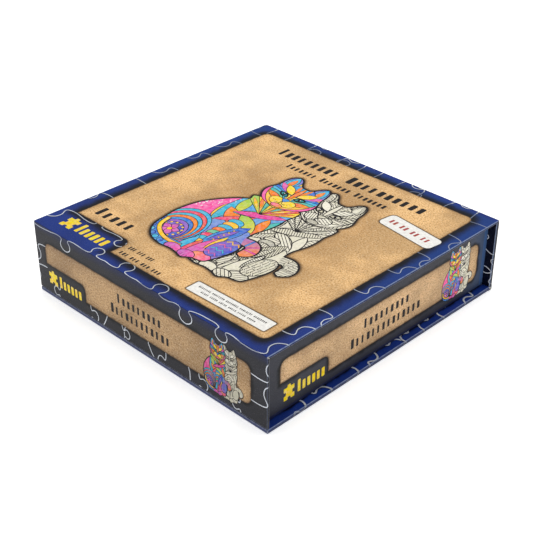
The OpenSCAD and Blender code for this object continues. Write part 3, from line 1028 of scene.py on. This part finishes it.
class Side:
    """One side of the box as read: a dark border round a kraft panel with marks, a badge and the cats."""

    def __init__(self, name, left, right, low, high, notch_top, turn=1, shift=0, edged=True,
                 dulled=None, tint=None, light=1.0):
        """edged is for a side whose print wraps round edges, and light the share of their colour its cats
        keep, below 1 a painted shade.
        """
        self.panel = (left, right, low, high, PANEL_R)
        self.notch = (left - PAST, left + 45.7, low - PAST, notch_top, PANEL_R - 1)
        self.turn, self.shift, self.light = turn, shift, light
        boxes = [self.on_sheet(box) for box in (self.panel, self.notch)]
        self.tone = CHARCOAL if edged else DULL_CHARCOAL
        # the boards' side edges, darkened as painted shade
        edge = shade(CHARCOAL, 0.4)
        self.border = border_ink(name + "_border", *boxes, edged, dulled, edge, (0, 3.5), 0.2, tint)
        self.kraft = kraft_ink(name + "_kraft", *boxes, tone=KRAFT_FLAP_SHADED if edged else KRAFT_WALL_SHADED)
        self.hides = rounded_box(*boxes[0])

    def on_sheet(self, box):
        """Where a rounded box of this side lies on its sheet."""
        x0, x1, y0, y1, r = box
        a, b = (complex(*corner) * self.turn + self.shift for corner in ((x0, y0), (x1, y1)))
        return (*sorted((a.real, b.real)), *sorted((a.imag, b.imag)), r)

    def print_on(self, art, badge_x, words_x, upper, lower, cats_x, foot, tall):
        """upper and lower are half the lengths of the two rows of marks.

        The cats stand tall over their foot, with their left side at cats_x.
        """
        panel = rounded_box(*self.panel)
        art.at(self.shift, self.turn)
        art.paint(panel, self.kraft, KRAFT)
        art.paint(rounded_box(*self.notch), self.border, self.tone, (panel,))
        middle = (self.panel[2] + self.panel[3]) / 2
        for half, y0, y1, seed in ((upper, 1.5, 7.5, 21), (lower, -9.5, -3.2, 22)):
            row = (words_x - half, words_x + half, middle + y0, middle + y1)
            marks(art, *row, seed, BLACK, pitch=5.4, words=1, tall=1.6, weight=0.84)
        badge(art, badge_x, self.panel[2] - 2, 40)
        scale = tall / CAT_H
        at = complex(cats_x - CAT_LEFT * scale, foot - CAT_FOOT * scale)
        two_cats(art, self.shift + at * self.turn, scale, self.turn, False, self.light)


def side_reach(below):
    """How far across a sheet goes to end that far below the panel's face."""
    return FLAT_X + EDGE_ARC + below - EDGE_R


def crease_sides(art, low, high, sides=(-1, 1)):
    """Lines along which a sheet bends over its side edges."""
    for side in sides:
        for k in range(5):
            bend = side * (FLAT_X + EDGE_ARC * k / 4)
            art.crease(complex(bend, low), complex(bend, high))


def crease_fold(art, up, reach):
    """Lines along which a sheet bends over a folded corner."""
    for k in range(5):
        v = up + (k / 2 - 1) * FOLD_R
        art.crease(complex(-reach, v), complex(reach, v))


FLAP_FOOT = -HY - (HEIGHT - FLAP_Z0)  # where the flap ends, measured on from y over the fold
FOLD_CLEAR = 1.5  # a sheet isn't wrapped round the side edges this close to a fold
OVERLAP = 9  # how far an area of print is drawn past the sheet's edges
WIDE = HX + OVERLAP
COLUMNS = [-150, -100, -67, -34, 0, 33, 66, 100, 150]
COVER_SEAMS = seams(COLUMNS, [-119, -90, -58, -26, 8, 42, 76, 104, 132, 176], 7, posts=False)
COVER_SEAMS += seams([-104, -84, -58, -30, -8, 10, 34, 56, 82, 104], [104, 152], 8, runs=False)
FLAP_SEAMS = seams([-150, -98, 98, 150], [-158, -138], 9, posts=False)
FLAP_SEAMS += seams([-98, -60, -22, 22, 56, 98], [-184, -160], 10, runs=False)


def make_cover_print():
    """One sheet over the lid's top and down the flap, bending with the flap's fold."""
    reach = side_reach(LID_T - EDGE_R)
    back = HY - HINGE_REACH
    right = pts((FLAT_X, FLAP_FOOT + EDGE_R), (reach, FLAP_FOOT + EDGE_R), (reach, -HY - FOLD_CLEAR),
                (FLAT_X, -HY - FOLD_CLEAR), (FLAT_X, -HY + FOLD_CLEAR), (reach, -HY + FOLD_CLEAR),
                (reach, back), (FLAT_X, back))
    lid_border = border_ink("lid_border", LID_PANEL, LID_NOTCH, tint=(FAR_NAVY, -110, 60))
    lid_kraft = kraft_ink("lid_kraft", LID_PANEL, LID_NOTCH, browned=(-60, 62, -75, 75, 40))
    # its cats keep 0.66 of their colour: painted shade, as on the flap's darker kraft
    flap = Side("flap", left=-108.7, right=105.4, low=14.2, high=46.1, notch_top=27.8,
                shift=-1j * (HY + HEIGHT), tint=(shade(NAVY, 0.5), -HY - 8, -HY + 2), light=0.66)
    art = Art(between(right, mirrored(right, 0)), (lid_border, NAVY))
    front = rounded_box(-WIDE, WIDE, FLAP_FOOT - OVERLAP, -HY, 1)
    top = rounded_box(-WIDE, WIDE, -HY, HY + OVERLAP, 1)
    art.paint(front, flap.border, flap.tone)
    crease_fold(art, -HY, reach)
    crease_sides(art, FLAP_FOOT, HY)
    panel, notch = rounded_box(*LID_PANEL), rounded_box(*LID_NOTCH)
    print_seams(art, COVER_SEAMS, lid_border, NAVY, panel, (top,))
    print_seams(art, COVER_SEAMS + FLAP_SEAMS, flap.border, CHARCOAL, flap.hides, (front,))
    art.paint(panel, lid_kraft, KRAFT)
    art.paint(notch, lid_border, NAVY, (panel,))
    notch_seams = [line for line in COVER_SEAMS if covers(notch, line).any()]
    print_seams(art, notch_seams, lid_border, NAVY, None, (notch, top))
    badge(art, -103.4, -109.7, 50)
    for x0, x1, y0, y1, seed, pitch, words, tall in (
        (-72.4, -9.4, 85.5, 94.5, 1, 7.4, 1, 3),
        (-0.4, 76.6, 85.5, 94.5, 2, 7.4, 1, 3),
        (-51.4, 50.6, 72.6, 78.2, 3, 4.4, 3, 1.6),
        (-97.5, -56.5, -82, -73.5, 4, 7.8, 1, 3),
        (-40, -14, -97.4, -93.6, 6, 2.7, 3, 0),
        (-40, 3, -105.6, -102, 8, 2.7, 4, 0),
    ):
        marks(art, x0, x1, y0, y1, seed, BLACK, pitch, words, tall)
    two_cats(art, 0.7 + 0.2j, 1)
    tilted = art.at(84.2 + 60.6j, turn_by(-7.8))
    label(tilted, 25.5, 8.25, 4, [(-2.6, 2.6, 20, LABEL_RED, 3.2, 4)])
    straight = art.at(62.9 - 96.6j, turn_by(0.8))
    label(straight, 35.8, 6, 1, [(1, 2.8, 31, BLACK, 1.5, 5), (-3, -1.4, 25, BLACK, 1.4, 6)])
    flap.print_on(art, badge_x=-106.9, words_x=-1.7, upper=24, lower=32, cats_x=62.1, foot=7.8, tall=42)
    sheet = art.sheet("cover_print", on_cover, "printed_blue")
    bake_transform(sheet)
    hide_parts("flap_fold")


def make_spine_print():
    """One sheet over the lid's back margin and down the spine, bending with the lid's fold."""
    back, foot = HY - HINGE_REACH, HY + HEIGHT - HINGE_REACH
    lid_side, spine_side = side_reach(LID_T - EDGE_R), side_reach(BASE_T / 2 - PROUD)
    right = pts((FLAT_X, back), (lid_side, back), (lid_side, HY - FOLD_CLEAR),
                (FLAT_X, HY - FOLD_CLEAR), (FLAT_X, HY + FOLD_CLEAR), (spine_side, HY + FOLD_CLEAR),
                (spine_side, foot), (FLAT_X, foot))
    spine = Side("spine", left=-108, right=105, low=14.2, high=46.1, notch_top=27.8,
                 turn=-1, shift=1j * (HY + HEIGHT))
    lid_edge = border_ink("lid_back_border")
    art = Art(between(right, mirrored(right, 0)), (lid_edge, NAVY))
    rear = rounded_box(-WIDE, WIDE, HY, HY + HEIGHT, 1)
    top = rounded_box(-WIDE, WIDE, HY - OVERLAP, HY, 1)
    art.paint(rear, spine.border, CHARCOAL)
    crease_fold(art, HY, lid_side)
    crease_sides(art, back, foot)
    print_seams(art, COVER_SEAMS, lid_edge, NAVY, rear, (top,))
    print_seams(art, COVER_SEAMS, spine.border, CHARCOAL, spine.hides, (rear,))
    spine.print_on(art, badge_x=-106.5, words_x=-2, upper=23, lower=31, cats_x=60, foot=7.8, tall=42)
    sheet = art.sheet("spine_print", on_spine, "printed_charcoal")
    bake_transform(sheet)
    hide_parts("lid_fold")


GAP = 0.1  # a print on the tray stops this far inside the wall's edges
SHARP = 0.01  # corner radius of a sheet cut square


def make_tray_print(name, way):
    """The tray's side wall, seen from outside. way is the side it faces along x."""
    low, high = TRAY_LOW.z + GAP, TRAY_HIGH.z - GAP
    spine_end = way * (TRAY_HIGH.y - GAP)
    ends = sorted((way * (TRAY_LOW.y + GAP), spine_end))
    dulled = (spine_end - way * 32, spine_end)
    side = Side(name, left=-102, right=107, low=12.2, high=43.2, notch_top=25.9,
                edged=False, dulled=dulled)
    art = Art(rounded_box(*ends, low, high, SHARP), (side.border, side.tone))
    art.paint(rounded_box(ends[0] - 1, ends[1] + 1, low - 1, low + 1.8, SHARP), side.border, TRAY_FOOT)
    art.paint(rounded_box(spine_end - 4, spine_end + 4, low - 1, high + 1, SHARP), side.border, TRAY_END)
    side.print_on(art, badge_x=-98.3, words_x=3.8, upper=25, lower=38, cats_x=65.9, foot=7.9, tall=41.5)

    def place(across, up, depth):
        return joined(way * (TRAY_HIGH.x + PROUD - depth), way * across, up)

    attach(art.sheet(name, place, "printed_charcoal"), "case")


def margin_beside_tray(way, below, near, far, ink, colour, cuts, wide=SEAM_W):
    """A strip from the tray's wall to the board's side edge, and that far down over it."""
    across = sorted((way * (TRAY_HIGH.x + 0.06), way * side_reach(below)))
    art = Art(rounded_box(*across, near, far, SHARP), (ink, colour))
    crease_sides(art, near, far, (way,))
    print_seams(art, cuts, ink, colour, wide=wide)
    return art


def make_ledge_print(name, way):
    """The base's inner margin beside the tray, wrapped over its edge."""
    # the ledge darkens beside the tray walls: painted shade
    tray_shade_box = (-TRAY_HIGH.x, TRAY_HIGH.x, -2 * HY, 2 * HY, 1)
    ink = border_ink(name + "_ink", tray_shade_box, side=GREYED_BLUE, black=(0, 2.5))
    cuts = seams([way * x for x in (98, 138)], list(range(-118, 120, 24)), 12 + way, posts=False)
    near, far = -HY + EDGE_R, HY - BASE_T - TOUCH
    # its navy lightened 1.25 times: painted light, a lighter copy of the navy under the lid's shade
    art = margin_beside_tray(way, BASE_T - EDGE_R, near, far, ink, shade(NAVY, 1.25), cuts, 1.3)

    def place(across, up, depth):
        x, below = over_edge(across, depth)
        return joined(x, up, BASE_T - below)

    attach(art.sheet(name, place, "printed_blue"), "case")


def make_margin_print(name, way):
    """The spine's inner margin beside the tray, wrapped half way round its edge, its navy darkened near
    black as painted shade.
    """
    ink = border_ink(name + "_ink")
    cuts = seams([way * x for x in (96, 136)], [6, 27, 46], 30 + way, posts=False)
    near, far = BASE_T + TOUCH, HEIGHT - LID_T - TOUCH
    # navy at 0.06 of its light: painted shade between the tray and the spine
    art = margin_beside_tray(way, BASE_T / 2 - PROUD, near, far, ink, shade(NAVY, 0.06), cuts)

    def place(across, up, depth):
        x, below = over_edge(across, depth)
        return joined(x, HY - BASE_T + below, up)

    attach(art.sheet(name, place, "printed_charcoal"), "case")


def make_guide_print():
    """The folded guide's front: the finished picture in a frame."""
    wide, tall, turn = 105, 148, math.radians(5)
    middle = (GUIDE_LOW + GUIDE_HIGH) / 2

    def inset(by, r):
        return rounded_box(by - wide / 2, wide / 2 - by, by - tall / 2, tall / 2 - by, r)

    paper = border_ink("guide_front_paper", edged=False)
    art = Art(inset(0.2, 0.8), (paper, CREAM_LIGHT))
    art.paint(inset(5, 2.5), paper, CHARCOAL)
    art.paint(inset(6, 2), kraft_ink("guide_kraft"), KRAFT)
    marks(art, -34, 34, 54, 60, 41, BLACK, 5.2, 2, 2)
    for k in range(3):
        marks(art, -32 + 4 * k, 32 - 4 * k, -53 - 5 * k, -50.6 - 5 * k, 50 + k, BLACK, 2.4, 4)
    two_cats(art, -3 + 4j, 0.62)

    def place(across, up, depth):
        x = middle.x + across * math.cos(turn) - up * math.sin(turn)
        y = middle.y + across * math.sin(turn) + up * math.cos(turn)
        return joined(x, y, GUIDE_HIGH.z + PROUD - depth)

    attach(art.sheet("guide_print", place, "guide_paper"), "case")


# ---------- paper-covered boards ----------
# body, colour, thickness, ends of its run, whether the first is mitred too, and where it stands
PANELS = {
    "base": ("case", NAVY, BASE_T, -HY, HY, False, lambda x, v, w: (x, v, w)),
    "spine": ("case", CHARCOAL, BASE_T, 0, HEIGHT, True, lambda x, v, w: (x, HY - w, v)),
    "lid": ("lid", NAVY, LID_T, -HY, HY, True, lambda x, v, w: (x, v, HEIGHT - w)),
    "flap": ("flap", CHARCOAL, LID_T, FLAP_Z0, HEIGHT, False, lambda x, v, w: (x, w - HY, v)),
}


def make_cover(panel):
    """A board and its paper, with rounded edges that are paler from real wear and a painted highlight.

    Its outer face lies just under the print.
    """
    body, colour, t, v0, v1, both_mitred, place = PANELS[panel]
    bm = bmesh.new()
    rings = []
    x = HX - PROUD
    for w in (PROUD, t - PROUD):
        low = v0 + (MITRE + w if both_mitred else PROUD)
        high = v1 - (MITRE + w)
        corners = ((-x, low), (x, low), (x, high), (-x, high))
        rings.append([bm.verts.new(Vector(place(*corner, w)) * MM) for corner in corners])
    bm.faces.new(rings[0])
    bm.faces.new(rings[1][::-1])
    for k in range(4):
        bm.faces.new([rings[0][k], rings[0][k - 1], rings[1][k - 1], rings[1][k]])
    bmesh.ops.recalc_face_normals(bm, faces=bm.faces)
    bmesh.ops.bevel(bm, geom=bm.edges[:], offset=(EDGE_R - PROUD) * MM, offset_type="OFFSET",
                    segments=3, profile=0.5, affect="EDGES", material=1, clamp_overlap=True)
    mesh = bpy.data.meshes.new(panel + "_cover")
    bm.to_mesh(mesh)
    bm.free()
    mesh.materials.append(wrap_paper(panel + "_paper", blended(colour, GREYED_BLUE, 0.6), 0.04))
    # the rounded edges: pale from real wear and a painted highlight
    mesh.materials.append(wrap_paper(panel + "_wear_and_highlight_edge", blended(colour, GREYED_BLUE, 0.7), 0.3))
    piece = in_scene(panel + "_cover", mesh)
    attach(piece, body)
    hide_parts(panel + "_wrap", panel + "_board")


# ---------- materials of the CAD nodes ----------
def plain_paper(name, colour, grain):
    """Uncoated paper with a soft fibrous grain."""
    ink = Ink(name, rough=0.8, specular=0.25)
    cloud = ink.mottled(colour, shade(colour, 0.93), 18, 3, 1.0)
    fibre = ink.noise(0.8, 4, 0.6, ink.scaled(ink.place, (1, 0.3, 1)))
    ink.set("Base Color", ink.mix(ink.ramp(fibre, 0.45, 0.8, 0.0, 0.35), cloud, shade(colour, 0.7)))
    ink.bump(fibre, grain, 0.05)
    return ink.material


def greyboard():
    """Recycled board: grey pulp with darker and paler flecks."""
    ink = Ink("greyboard", rough=0.9, specular=0.2)
    pulp = ink.mottled(srgb(150, 142, 128), srgb(128, 120, 108), 6, 4, 1.0)
    flecks = ink.noise(0.7, 3, 0.6)
    ink.set("Base Color", ink.mix(ink.ramp(flecks, 0.55, 0.75, 0.0, 0.6), pulp, srgb(84, 78, 72)))
    ink.bump(flecks, 0.4, 0.15)
    return ink.material


def gummed_tape():
    """Brown paper tape with a fine upright weave."""
    ink = Ink("gummed_tape", rough=0.6, specular=0.35)
    weave = ink.noise(1.0, 2, 0.5, ink.scaled(ink.place, (1, 1, 0.1)))
    ink.set("Base Color", ink.mix(weave, srgb(196, 164, 118), srgb(168, 134, 90)))
    ink.bump(weave, 0.2, 0.05)
    return ink.material


def plated(name, colour, rough):
    """Plated metal with fine turning marks and a few dull patches."""
    ink = Ink(name, rough=rough)
    ink.set("Metallic", 1.0)
    dull = ink.ramp(ink.noise(3, 4), 0.4, 0.7)
    ink.set("Base Color", ink.mix(dull, colour, shade(colour, 0.75)))
    ink.set("Roughness", ink.ramp(dull, 0.0, 1.0, rough, rough + 0.2))
    ink.bump(ink.noise(0.3, 3, 0.5, ink.scaled(ink.place, (0.1, 1, 1))), 0.1, 0.02)
    return ink.material


def piece_numbers():
    """A modifier's node group that gives every loose piece of a mesh a number of its own."""
    tree = bpy.data.node_groups.new("piece_numbers", "GeometryNodeTree")
    for way in ("INPUT", "OUTPUT"):
        tree.interface.new_socket("Geometry", in_out=way, socket_type="NodeSocketGeometry")
    kinds = ("NodeGroupInput", "GeometryNodeMergeByDistance", "GeometryNodeStoreNamedAttribute",
             "NodeGroupOutput")
    start, weld, store, end = (tree.nodes.new(kind) for kind in kinds)
    weld.inputs["Distance"].default_value = 0.001 * MM
    store.inputs["Name"].default_value = "piece"
    number = tree.nodes.new("GeometryNodeInputMeshIsland").outputs["Island Index"]
    for socket, goal in ((start.outputs[0], weld.inputs[0]), (weld.outputs[0], store.inputs[0]),
                         (number, store.inputs["Value"]), (store.outputs[0], end.inputs[0])):
        tree.links.new(socket, goal)
    return tree


CELL = 8.5  # size of a patch of pattern on a puzzle piece


def puzzle_wood():
    """Laser-cut ply: a printed face, a face with pen lines only, and edges burnt brown."""
    ink = Ink("printed_ply", rough=0.55, specular=0.35)
    number = ink.math("ROUND", ink.node("Attribute", attribute_name="piece", out=2))
    island = ink.node("TexWhiteNoise", noise_dimensions="1D")
    ink.fill(island.node, W=ink.math("MULTIPLY", number, 1.37))
    offset = ink.vector("SCALE", (311.0, 173.0, 67.0))
    ink.fill(offset.node, Scale=island)
    moved = ink.vector("ADD", ink.place, offset)
    cells, edge = (ink.tree.nodes.new("ShaderNodeTexVoronoi") for _ in range(2))
    edge.feature = "DISTANCE_TO_EDGE"
    for voronoi in (cells, edge):
        ink.fill(voronoi, Scale=1 / CELL, Vector=moved)
    rings = ink.math("FRACT", ink.math("MULTIPLY", cells.outputs["Distance"], 2.6))
    hue = ink.node("SeparateColor", cells.outputs["Color"])
    choice = ink.tree.nodes.new("ShaderNodeValToRGB")
    choice.color_ramp.interpolation = "CONSTANT"
    for k, colour in enumerate(RAINBOW):
        stop = choice.color_ramp.elements.new(k / len(RAINBOW)) if k else choice.color_ramp.elements[0]
        stop.color = (*colour, 1)
    ink.put(choice.inputs[0], ink.math("FRACT", ink.math("ADD", hue, ink.math("MULTIPLY", rings, 0.13))))
    pen = ink.math("MAXIMUM", ink.ramp(edge.outputs[0], 0.03, 0.06, 1.0, 0.0), ink.ramp(rings, 0.86, 0.93))
    wash = ink.mottled(choice.outputs[0], WHITE, 3, 3, 0.3)
    streaks = ink.noise(1.2, 4, 0.6, ink.scaled(moved, (0.12, 1, 1)))
    wood = ink.mix(streaks, srgb(226, 206, 168), srgb(200, 172, 128))
    face = ink.mix(ink.ramp(island, 0.55, 0.56), wash, wood)
    face = ink.mix(ink.math("MULTIPLY", pen, 0.85), face, BLACK)
    _, _, upright = ink.parts(ink.node("TexCoord", out=1))
    flat = ink.ramp(ink.math("ABSOLUTE", upright), 0.6, 0.9)
    plies = ink.noise(1.0, 2, 0.5, ink.scaled(ink.place, (0.1, 0.1, 1)))
    burnt = ink.mix(plies, srgb(92, 58, 32), srgb(46, 28, 18))
    ink.set("Base Color", ink.mix(flat, burnt, face))
    ink.bump(ink.noise(0.8, 4), 0.2, 0.05)
    return ink.material


def dress_cad_nodes():
    """Each CAD node gets the material of the first word here that its name holds."""
    lining = plain_paper("lining_paper", srgb(232, 228, 216), 0.3)
    board, numbers = greyboard(), piece_numbers()
    dress = {
        "liner": lining,
        "lining": lining,
        "floor": board,
        "wall": board,
        "board": board,
        "tape": gummed_tape(),
        "plate": plated("catch_steel", srgb(170, 172, 176), 0.3),
        "magnet": plated("magnet_nickel", srgb(190, 188, 180), 0.22),
        "wrap": wrap_paper("tray_paper", CHARCOAL, 0.05),
        "fold": wrap_paper("fold_paper", CHARCOAL, 0.1),
        "guide": plain_paper("guide_paper", srgb(236, 232, 220), 0.2),
        "layer": puzzle_wood(),
    }
    for name, node in NODES.items():
        material = next(m for part, m in dress.items() if part in name)
        node.data.materials.clear()
        node.data.materials.append(material)
        if "layer" in name:
            node.modifiers.new("piece_numbers", "NODES").node_group = numbers


# ---------- studio ----------
def make_floor():
    """A wide pale floor, just under the box."""
    bpy.ops.mesh.primitive_circle_add(vertices=96, radius=12, fill_type="NGON", location=(0, 0, -0.0002))
    floor = bpy.context.object
    floor.name = "studio_floor"
    ink = Ink("studio_white", rough=0.9, specular=0.0)
    ink.set("Base Color", ink.mottled((0.93, 0.93, 0.93), (0.95, 0.95, 0.95), 400, 2, 1.0))
    ink.set("Emission Color", (1, 1, 1)).set("Emission Strength", 0.45)
    floor.data.materials.append(ink.material)


def make_camera_and_lights():
    """The photograph's view, in the soft light of a white studio."""
    camera = in_scene("camera", bpy.data.cameras.new("camera"))
    camera.location = (0.5049, -0.5092, 0.4566)
    aim = Vector((0.01111, -0.01143, 0.0297)) - camera.location
    camera.rotation_euler = aim.to_track_quat("-Z", "Y").to_euler()
    camera.rotation_euler.rotate_axis("Z", math.radians(0.11))
    camera.data.lens = 76.05
    bpy.context.scene.camera = camera
    world = bpy.data.worlds.new("studio")
    world.use_nodes = True
    backdrop = world.node_tree.nodes["Background"]
    backdrop.inputs[0].default_value = (1, 1, 1, 1)
    backdrop.inputs[1].default_value = 0.5
    bpy.context.scene.world = world
    overhead, fill = ("overhead", (-0.2, 0.3, 1.6), 1.6, 18), ("fill", (1.4, -1.4, 1.0), 1.2, 4)
    for name, place, size, power in (overhead, fill):
        light = bpy.data.lights.new(name, "AREA")
        light.size, light.energy = size, power
        lamp = in_scene(name, light)
        lamp.location = place
        lamp.rotation_euler = (-lamp.location).to_track_quat("-Z", "Y").to_euler()
    bpy.context.scene.view_settings.view_transform = "Standard"


make_camera_and_lights()
make_floor()
dress_cad_nodes()
for panel_name in PANELS:
    make_cover(panel_name)
make_cover_print()
make_spine_print()
for side_name, way in (("right", 1), ("left", -1)):
    make_tray_print("tray_print_" + side_name, way)
    make_ledge_print("ledge_print_" + side_name, way)
    make_margin_print("margin_print_" + side_name, way)
make_guide_print()
